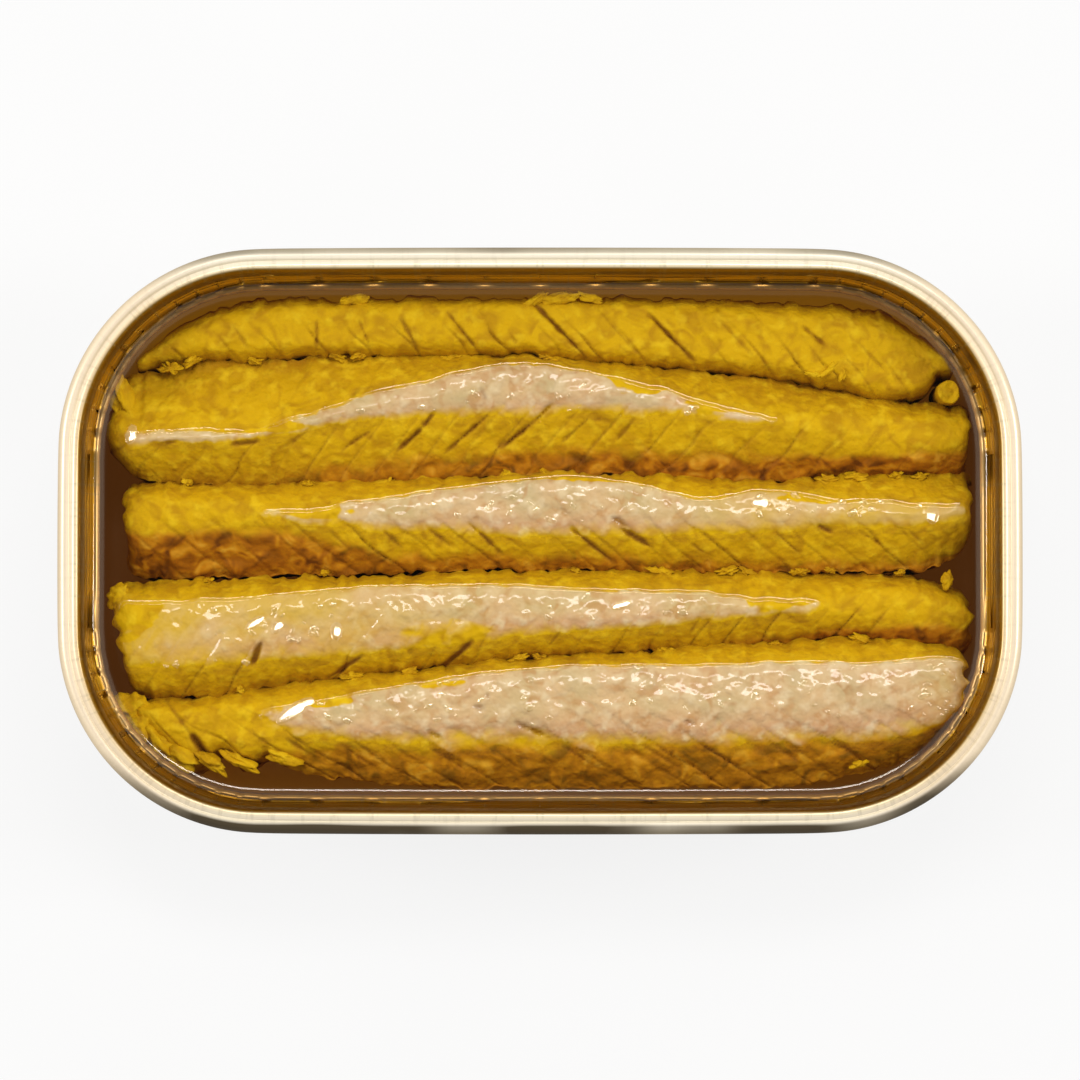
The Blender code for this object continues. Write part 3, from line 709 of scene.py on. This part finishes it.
def lay_fillet(name, number):
    """A fine net laid over a fillet's back, sculpted, and closed by straight sides below."""
    stations = FILLETS[name]
    bpy.ops.object.select_all(action="DESELECT")
    bpy.ops.mesh.primitive_grid_add(x_subdivisions=COLUMNS, y_subdivisions=ROWS, size=2)
    piece = bpy.context.object
    piece.name = name + "_flesh"
    u, v, _ = (points_of(piece) * MM).T
    left, right = stations[0][0], stations[-1][0]
    place = left + (right - left) * (u + 1) / 2
    across = np.sin(math.pi / 2 * v)
    setback = np.minimum(place - left, right - place)
    fade = ramp(setback, 0, END_FADE)
    columns, column_of = np.unique(np.round(place, 6), return_inverse=True)
    curves = at_stations(stations, columns)
    half = (curves[0] - curves[3])[column_of] / 2
    lean = np.where(place < 0, *LEANS[number]) * (1 - fade)
    ragged = (1 - ramp(setback, 0, END_RAGGED)) * 0.45 * lumps(u * 0, v * half, 1.0, 0.9, 700 + number)
    x = place + lean * v * half + ragged
    far, far_shoulder, near_shoulder, near, height = at_stations(stations, np.clip(x, left, right))
    crest = (far_shoulder + near_shoulder) / 2
    past = np.maximum(np.abs(x) - (TIN_LENGTH / 2 - CORNER), 0)
    bow = SIDE_BOW * (1 - (2 * x / TIN_LENGTH) ** 2)
    reach_out = TIN_WIDTH / 2 - CORNER + bow + np.sqrt(np.maximum((CORNER - WALL_INSET) ** 2 - past**2, 0))
    edge_wander = 0.32 * lumps(x, np.sign(v) * 5, 1.7, 3.0, 40 + number)
    edge_wander += 0.22 * lumps(x, np.sign(v) * 5, 0.6, 3.0, 60 + number)
    far = np.minimum(far + SEAM_OVERLAP + edge_wander, reach_out)
    near = np.maximum(near - SEAM_OVERLAP + edge_wander, -reach_out)
    edge = np.where(across > 0, far, near)
    shoulder = np.where(across > 0, far_shoulder, near_shoulder)
    away = ramp(setback, 0, END_ROUNDING)
    rounding = np.sqrt(1 - (1 - away) ** 2)
    reach = (edge - crest) * (1 - 0.3 * (1 - rounding))
    share = np.clip((shoulder - crest) / (edge - crest), 0.1, 0.93)
    power = np.maximum(np.log(np.maximum(height, 0.3) / FLANK_DROP) / np.log(share), 1.15)
    y = crest + np.abs(across) * reach
    z = OIL_LEVEL + height - FLANK_DROP * np.abs(across) ** power - END_DROP * (1 - rounding)

    known, starts, strengths = np.array(DARK_MUSCLE[number]).T
    start = np.interp(x, known, starts)
    down = -across + 0.06 * lumps(x, y, 2.2, 1.2, 80 + number)
    muscle = np.interp(x, known, strengths) * ease(down, start - 0.1, start + 0.13)
    bare = ease(z, OIL_LEVEL - 0.2, OIL_LEVEL + 0.3)
    towards_near = ease(-across, -0.15, 0.35)
    rise, cut = flake_relief(x, y, crest, SLANTS[number], 100 + number)
    cut *= (0.25 + 0.75 * towards_near) * (1 - 0.75 * bare)
    rise *= 0.3 + 0.7 * towards_near
    cracks = crack_depth(x, y, CRACKS[number], 120 + number)
    relief = 0.13 * lumps(x, y, 5.5, 2.6, 140 + number)
    relief += 0.11 * lumps(x, y, 1.9, 1.2, 160 + number) * (1 + 1.3 * muscle)
    relief += 0.065 * lumps(x, y, 0.75, 0.6, 180 + number)
    relief += 0.3 * muscle * lumps(x, y, 3.0, 1.4, 200 + number)
    relief += 0.22 * (rise - 0.4) - 0.28 * cut - cracks
    z = z + relief * (0.35 + 0.65 * fade) * (1 - 0.6 * ease(np.abs(across), 0.97, 1.0))

    place_points(piece, x, y, z)
    keep_value(piece, "muscle", muscle)
    # Painted shade in the cracks and at each flake's drop.
    keep_value(piece, "painted_crack_shade", np.clip(cracks / 0.55 + 0.4 * cut, 0, 0.85))
    keep_value(piece, "near_side", towards_near)
    keep_value(piece, "stain", np.interp(x, *np.array(STAINS[number]).T))
    keep_value(piece, "film", oil_film(x, y, OIL_FILMS[number], 220 + number))

    close_below(drops=(4, 8), squash=(1, 1, 0), smooth_under=60)
    return piece


# Tinned mackerel flesh: beige to pinkish grey where it is bare, golden yellow a little way
# under the oil, brown deeper down, and rust brown along the dark muscle.
flesh, shader, add = new_material("mackerel_flesh_in_oil")
place = add("TexCoord").outputs["Object"]
axes = add("SeparateXYZ", {0: place})
muscle, painted_crack_shade, near_side, film, stain = (
    add("Attribute", attribute_name=name).outputs["Fac"]
    for name in ("muscle", "painted_crack_shade", "near_side", "film", "stain")
)
# Mottling about 5 mm, 1.6 mm and 0.7 mm across.
broad, middling, fine = (
    add("TexNoise", {"Vector": place, "Scale": scale, "Detail": detail})
    for scale, detail in ((190.0, 1.0), (620.0, 2.0), (1500.0, 1.0))
)
lumpy = add("TexNoise", {"Vector": place, "Scale": 400.0, "Detail": 1.0, "Distortion": 1.2})
over_oil = add("Math", {0: axes.outputs["Z"], 1: 1 / MM, 2: -OIL_LEVEL}, operation="MULTIPLY_ADD")
wavered = add("Math", {0: middling, 1: 0.5, 2: over_oil}, operation="MULTIPLY_ADD")
filmed = add("Math", {0: film, 1: -0.55, 2: wavered}, operation="MULTIPLY_ADD")
dry_from = add("MapRange", {"Value": near_side, "To Min": 0.42})
bare = add(
    "MapRange", {"Value": filmed, "From Min": 0.25, "From Max": dry_from}, interpolation_type="SMOOTHSTEP"
)
pinkness = add("Math", {0: near_side, 1: middling}, operation="MULTIPLY")
depth_place = add("MapRange", {"Value": wavered, "From Min": -4.4, "From Max": 0.2})
depth_tone = add(
    "ValToRGB", {"Fac": depth_place},
    stops=((0.0, "#7A4A08"), (0.14, "#A07006"), (0.3, "#BA9006"), (0.6, "#C69B06"), (1.0, "#CBA106")),
)

# Tints laid over the bare and the sunken flesh in turn, each where its noise is high: the
# noise's limits, the tint's largest share and its colour.
tones = {"bare": "#C9A87A", "sunk": depth_tone}
for part, noise, low, high, most, tint in (
    ("bare", broad, 0.4, 0.66, 0.8, "#B8A478"),
    ("bare", pinkness, 0.12, 0.62, 1.0, "#BC8A60"),
    ("bare", lumpy, 0.5, 0.68, 0.55, "#AF7C48"),
    ("bare", middling, 0.5, 0.7, 0.8, "#D4BD94"),
    ("sunk", lumpy, 0.42, 0.7, 0.75, "#A87A08"),
    ("sunk", middling, 0.52, 0.72, 0.6, "#DDBA1C"),
):
    share = add("MapRange", {"Value": noise, "From Min": low, "From Max": high, "To Max": most})
    tones[part] = add("Mix", {0: share, 6: tones[part], 7: tint}, data_type="RGBA")
stain_patch = add("MapRange", {"Value": broad, "From Min": 0.3, "From Max": 0.6, "To Min": 0.25})
stain_share = add("Math", {0: stain, 1: stain_patch}, operation="MULTIPLY")
muscle_tone = add(
    "ValToRGB", {"Fac": lumpy},
    stops=((0.3, "#673808"), (0.48, "#9C5E0B"), (0.6, "#B4760E"), (0.75, "#C8922A")),
)

# Then, over all: oil stains, the dark muscle, the bare backs and painted shade in the cracks.
tone = add("Mix", {0: stain_share, 6: tones["bare"], 7: "#C8A028"}, data_type="RGBA")
sunk = add("Mix", {0: muscle, 6: tones["sunk"], 7: muscle_tone}, data_type="RGBA")
tone = add("Mix", {0: bare, 6: sunk, 7: tone}, data_type="RGBA")
tone = add("Mix", {0: painted_crack_shade, 6: tone, 7: "#6E3C0C"}, data_type="RGBA")
roughness = add("MapRange", {"Value": bare, "To Min": 0.7, "To Max": 0.42})
grain = add("Math", {0: fine, 1: 0.3, 2: middling}, operation="MULTIPLY_ADD")
bump = add("Bump", {"Height": grain, "Strength": 0.8, "Distance": 0.45 * MM})
film_bump = add("Bump", {"Height": middling, "Strength": 0.45, "Distance": 0.25 * MM})
feed(shader, {"Base Color": tone, "Roughness": roughness, "Normal": bump})
feed(shader, {"IOR": 1.4, "Specular IOR Level": 0.15})
feed(shader, {"Coat Weight": bare, "Coat Roughness": 0.08, "Coat IOR": 1.47, "Coat Normal": film_bump})

fish = {}
for number, name in enumerate(FILLETS):
    fish[name] = lay_fillet(name, number)
    fish[name].data.materials.append(flesh)
    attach(fish[name], "root")
    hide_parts(name)


# ---------------------------------------------------------------------------------------
# The stub: the end of a narrow strip of loin, stood upright in the far right corner to fill
# the tin to its weight.
# ---------------------------------------------------------------------------------------
STUB_CENTRE = (45.3, 16.65)
STUB_RADII = (1.35, 1.45)
STUB_TOP = 17.9
bpy.ops.object.select_all(action="DESELECT")
bpy.ops.mesh.primitive_cylinder_add(vertices=32, radius=MM, depth=(STUB_TOP - CONTENTS_BOTTOM) * MM)
stub = bpy.context.object
stub.name = "upright_stub"
stub.location = (STUB_CENTRE[0] * MM, STUB_CENTRE[1] * MM, (STUB_TOP + CONTENTS_BOTTOM) / 2 * MM)
stub.scale = (*STUB_RADII, 1)
bpy.ops.object.transform_apply()
pick("FACE")
bpy.ops.object.mode_set(mode="OBJECT")
for polygon in stub.data.polygons:
    polygon.select = polygon.normal.z > 0.9
bpy.ops.object.mode_set(mode="EDIT")
for step_in, step_up in ((0.2, 0.05), (0.35, 0.0), (0.15, -0.12), (0.3, 0.1)):
    bpy.ops.mesh.inset(thickness=step_in * MM, depth=step_up * MM)
bpy.ops.object.mode_set(mode="OBJECT")
round_off(stub)
x, y, z = points_of(stub).T
swell = 1 + 0.09 * lumps(x, y, 0.9, 0.9, 300) + 0.05 * lumps(x, z, 0.5, 2.0, 301)
x = STUB_CENTRE[0] + (x - STUB_CENTRE[0]) * swell
y = STUB_CENTRE[1] + (y - STUB_CENTRE[1]) * swell
z = z + 0.08 * lumps(x, y, 0.6, 0.6, 302) * ease(z, STUB_TOP - 2, STUB_TOP)
place_points(stub, x, y, z)
bpy.ops.object.shade_smooth()
stub.data.materials.append(flesh)
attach(stub, "root")
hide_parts("fish_stub")


# ---------------------------------------------------------------------------------------
# The loose flakes: shreds that came off the loins when they were cut and pressed in. They lie
# in the seams between the fillets, at the torn ends and along the far wall.
# ---------------------------------------------------------------------------------------
# Each flake, in mm: x, y, its middle's height over the oil, half length, half width, half
# height, and its turn in degrees.
LOOSE_FLAKES = (
    (-45.4, -18.3, -1.9, 1.9, 1.8, 1.2, 0), (-44.4, -20.3, -1.9, 1.8, 2.0, 1.2, 20),
    (-42.2, -22.3, -1.9, 2.4, 1.6, 1.2, -40), (-40.2, -23.6, -1.8, 2.2, 1.2, 1.1, -25),
    (-36.4, -24.4, -1.7, 2.2, 0.8, 1.0, -35), (-33.4, -24.2, -1.7, 2.2, 0.7, 1.0, -30),
    (-28.4, -23.9, -1.8, 2.0, 0.7, 1.0, -15), (-46.6, 16.4, -1.7, 1.2, 3.0, 1.2, 12),
    (32.1, 19.2, -0.9, 1.5, 0.45, 0.4, 40), (30.4, 18.5, -1.0, 1.0, 0.35, 0.35, -10),
    (33.6, 18.6, -1.0, 0.9, 0.35, 0.35, 75), (2.2, 27.2, -1.3, 2.4, 0.6, 0.6, 8),
    (-0.6, 26.9, -1.2, 1.4, 0.5, 0.5, 30), (5.5, 27.1, -1.3, 1.5, 0.5, 0.5, -15),
    (-20.6, 26.9, -1.5, 1.6, 0.6, 0.5, 5), (-46.7, -6.0, -1.2, 1.4, 1.1, 0.8, 60),
    (45.2, -4.2, -1.6, 0.9, 0.6, 0.5, 80), (35.4, -24.6, -1.4, 1.0, 0.4, 0.4, 20),
)
SEAM_FLAKES = 10


def loose_flake(x, y, rise, half_length, half_width, half_height, turn, seed, detail, jag=0.34, fall=0.0):
    """One torn flake: a ball flattened, roughened and laid in its place, falling to the far side."""
    bpy.ops.object.select_all(action="DESELECT")
    bpy.ops.mesh.primitive_ico_sphere_add(subdivisions=detail, radius=MM)
    piece = bpy.context.object
    ball = points_of(piece)
    rough = 1 + jag * lumps(ball[:, 0] * 1.6, ball[:, 1] * 1.6 + ball[:, 2], 0.9, 0.9, seed)
    rough += 0.5 * jag * lumps(ball[:, 0] * 4, ball[:, 1] * 4 + ball[:, 2], 0.9, 0.9, seed + 1)
    ball = ball * rough[:, None] * (half_length, half_width, half_height)
    c, s = math.cos(math.radians(turn)), math.sin(math.radians(turn))
    over = s * ball[:, 0] + c * ball[:, 1]
    height = OIL_LEVEL + rise + ball[:, 2] - fall * over
    place_points(piece, x + c * ball[:, 0] - s * ball[:, 1], y + over, height)
    return piece


def join_pieces(pieces, name):
    """Joins pieces into one, with smooth faces."""
    bpy.ops.object.select_all(action="DESELECT")
    for piece in pieces:
        piece.select_set(True)
    bpy.context.view_layer.objects.active = pieces[0]
    bpy.ops.object.join()
    joined = bpy.context.object
    joined.name = name
    bpy.ops.object.shade_smooth()
    return joined


flakes = [loose_flake(*row, 500 + k, 4) for k, row in enumerate(LOOSE_FLAKES)]
random = np.random.default_rng(29)
names = list(FILLETS)
for upper, lower in zip(names, names[1:]):
    for x in random.uniform(-43, 43, SEAM_FLAKES):
        upper_edge = at_stations(FILLETS[upper], np.array([x]))[3, 0]
        lower_edge = at_stations(FILLETS[lower], np.array([x]))[0, 0]
        y = (upper_edge + lower_edge) / 2 + random.uniform(-0.3, 0.3)
        size = random.uniform(0.5, 1.3)
        rise = random.uniform(-3.5, -2.5)
        turn = random.uniform(-35, 35)
        shred = (size, 0.25 + 0.2 * size, 0.6, turn, len(flakes) + 600, 4)
        flakes.append(loose_flake(x, y, rise, *shred, jag=0.5))
flakes = join_pieces(flakes, "loose_flakes")
flakes.data.materials.append(flesh)
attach(flakes, "root")


# ---------------------------------------------------------------------------------------
# The oil: poured to cover all but the backs of four fillets. It climbs the lip of the rim
# and the flesh in narrow menisci, which catch the lights as bright lines.
# ---------------------------------------------------------------------------------------
OIL_WALK = ((2.4, 18.0), (4.2, 18.3), (4.2, OIL_LEVEL))
WALL_MENISCUS = (
    (3.55, 19.02), (3.65, 18.97), (3.85, 18.88), (4.1, 18.775), (4.35, 18.67),
    (4.55, 18.59), (4.7, 18.54), (4.9, 18.505), (5.1, 18.495),
)


# Edible oil: clear and golden, with a smooth surface that mirrors the lights only where it
# curves. What lies under it carries the colour of its depth.
def oil_surface(name, mirror_gain, roughness):
    """Clear oil, with its mirror share multiplied by mirror_gain."""
    material, shader, add = new_material(name)
    back = add("NewGeometry").outputs["Backfacing"]
    mirror = add("Fresnel", {"IOR": 1.47})
    front = add("Math", {0: back, 1: -mirror_gain, 2: mirror_gain}, operation="MULTIPLY_ADD")
    share = add("Math", {0: mirror, 1: front}, operation="MULTIPLY", use_clamp=True)
    clear = add("BsdfTransparent", {"Color": "#FFFDF0"})
    gloss = add("BsdfGlossy", {"Color": "#FFF6E4", "Roughness": roughness})
    surface = add("MixShader", {0: share, 1: clear, 2: gloss})
    feed(material.node_tree.nodes["Material Output"], {"Surface": surface})
    material.node_tree.nodes.remove(shader)
    return material


oil_material = oil_surface("golden_sunflower_oil", 1.0, 0.04)
meniscus_material = oil_surface("curved_edge_of_the_oil", 1.7, 0.06)
bead_material = oil_surface("trembling_beads_of_oil", 5.0, 0.12)

oil = outline_plate("oil_pool", *OIL_WALK[0], corner_steps=40)
walk_in(OIL_WALK)
close_below(drops=(14.8, 2.05), squash=(0.96, 0.93, 1), smooth_under=30)
oil.data.materials.append(oil_material)
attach(oil, "root")
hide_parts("oil")

wall_line = outline_plate("oil_meniscus_at_rim", *WALL_MENISCUS[0])
walk_in(WALL_MENISCUS)
bpy.ops.mesh.delete(type="ONLY_FACE")
face_outwards()
if wall_line.data.polygons[0].normal.z < 0:
    wall_line.data.flip_normals()
bpy.ops.object.shade_smooth()
wall_line.data.materials.append(meniscus_material)
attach(wall_line, "root")


# In columns of a fillet's net.
SHORTEST_LINE = 25


def waterlines(piece):
    """The closed lines, in mm, where a fillet's back rises out of the oil for long enough."""
    back = points_of(piece)[: (COLUMNS + 1) * (ROWS + 1)]
    columns = back.reshape(ROWS + 1, COLUMNS + 1, 3).transpose(1, 0, 2)
    far, near, loops = [], [], []
    for column in columns:
        wet = np.flatnonzero(column[:, 2] > OIL_LEVEL + 0.03)
        if len(wet) > 2:
            near.append(column[wet[0], :2])
            far.append(column[wet[-1], :2])
        else:
            if len(far) > SHORTEST_LINE:
                loops.append(np.array(far + near[::-1]))
            far, near = [], []
    if len(far) > SHORTEST_LINE:
        loops.append(np.array(far + near[::-1]))
    return loops


def even_loop(points, pitch=0.2, rounds=8):
    """A closed line resampled at an even pitch and smoothed."""
    closed = np.vstack((points, points[:1]))
    run = np.concatenate(([0], np.cumsum(np.hypot(*np.diff(closed, axis=0).T))))
    count = int(run[-1] / pitch)
    places = np.linspace(0, run[-1], count, endpoint=False)
    loop = np.stack([np.interp(places, run, closed[:, k]) for k in (0, 1)], axis=1)
    for _ in range(rounds):
        loop = 0.5 * loop + 0.25 * (np.roll(loop, 1, axis=0) + np.roll(loop, -1, axis=0))
    return loop


# How far out from the waterline the rows of the fish's menisci lie, in mm.
LIP_STEPS = (-0.25, -0.1, 0.0, 0.06, 0.12, 0.19, 0.28, 0.4, 0.6, 0.9)
lips = []
for name in names[1:]:
    for loop in waterlines(fish[name]):
        loop = even_loop(loop)
        along = np.roll(loop, -1, axis=0) - np.roll(loop, 1, axis=0)
        along /= np.hypot(*along.T)[:, None]
        outward = np.stack((-along[:, 1], along[:, 0]), axis=1)
        bpy.ops.object.select_all(action="DESELECT")
        rows = len(LIP_STEPS) - 1
        bpy.ops.mesh.primitive_grid_add(x_subdivisions=len(loop), y_subdivisions=rows, size=2)
        lip = bpy.context.object
        u, v, _ = (points_of(lip) * MM).T
        k = np.round((u + 1) / 2 * len(loop)).astype(int) % len(loop)
        j = np.round((v + 1) / 2 * rows).astype(int)
        step = np.array(LIP_STEPS)[j]
        rise = 0.13 + 0.05 * lumps(loop[k, 0], loop[k, 1], 3.0, 3.0, 400)
        rise *= ease(outward[k, 1], -0.1, 0.4)
        z = OIL_LEVEL - 0.01 + rise * np.exp(-np.maximum(step, -0.1) / 0.12)
        x, y = (loop[k] + outward[k] * step[:, None]).T
        place_points(lip, x, y, z)
        bpy.ops.object.mode_set(mode="EDIT")
        bpy.ops.mesh.select_all(action="SELECT")
        bpy.ops.mesh.remove_doubles(threshold=1e-7)
        bpy.ops.object.mode_set(mode="OBJECT")
        if sum(polygon.normal.z for polygon in lip.data.polygons) < 0:
            lip.data.flip_normals()
        lips.append(lip)
lips = join_pieces(lips, "oil_menisci_at_fish")
lips.data.materials.append(meniscus_material)
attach(lips, "root")

# Beads of oil left on the bare backs, each a low dome that holds a bright point of light.
# Their heights are shares of their half widths.
FLAT_BEAD = 0.13
ROUND_BEAD = 0.45
BEAD_LIFT = 0.16
# Each row, in mm: x, y, half length, half width and turn in degrees.
BEADS = (
    (-45.3, 11.9, 0.7, 1.2, -12), (-27.1, -18.7, 2.5, 0.85, 32),
    (43.4, 3.0, 0.8, 1.1, -10), (-29.0, -9.4, 0.9, 0.6, 60),
    (-22.5, -9.9, 0.7, 1.1, 0), (-31.5, -9.0, 1.3, 0.5, 35),
    (9.0, -7.0, 1.1, 0.5, 20), (24.4, 4.4, 1.1, 0.9, 10),
)
# Patches of small beads: x, y, reach along, reach across and how many.
BEAD_PATCHES = (
    (33.0, 4.0, 10.0, 1.2, 30), (22.0, 14.6, 6.0, 0.5, 10),
    (-29.0, -9.0, 7.0, 2.4, 22), (-38.0, -13.6, 6.0, 0.5, 12),
    (43.5, -16.5, 3.0, 3.0, 20), (-8.0, 15.6, 14.0, 1.6, 16),
    (-2.0, 3.6, 12.0, 1.6, 16), (-12.0, -17.8, 14.0, 2.4, 24),
    (22.0, -16.6, 14.0, 2.6, 20), (8.0, -7.2, 10.0, 1.2, 12),
)


def top_of_fish(x, y):
    """The height of the highest fish at a place, in mm, or 0 where there is none."""
    top = 0.0
    for piece in fish.values():
        hit, where, _, _ = piece.ray_cast(Vector((x * MM, y * MM, 0.03)), Vector((0, 0, -1)))
        if hit:
            top = max(top, where.z / MM)
    return top


random = np.random.default_rng(31)
rows = list(BEADS)
for x, y, reach_x, reach_y, count in BEAD_PATCHES:
    for _ in range(count):
        size = random.uniform(0.14, 0.4)
        spot = (x + reach_x * random.uniform(-1, 1), y + reach_y * random.uniform(-1, 1))
        rows.append((*spot, size * random.uniform(1.0, 1.8), size, random.uniform(-60, 60)))
beads = []
for k, (x, y, half_length, half_width, turn) in enumerate(rows):
    top = top_of_fish(x, y)
    if top < OIL_LEVEL + 0.1:
        continue
    rise = top - OIL_LEVEL
    if k < len(BEADS):
        size = (half_length, half_width, FLAT_BEAD * half_width)
        beads.append(loose_flake(x, y, rise + BEAD_LIFT, *size, turn, 900 + k, 4, jag=0.05, fall=0.24))
    else:
        size = (half_length, half_width, ROUND_BEAD * half_width)
        beads.append(loose_flake(x, y, rise, *size, turn, 900 + k, 3, jag=0.25))
beads = join_pieces(beads, "beads_of_oil")
beads.data.materials.append(bead_material)
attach(beads, "root")

# Clear oil throws no shadow of its own.
for piece in (oil, wall_line, lips, beads):
    piece.visible_shadow = False
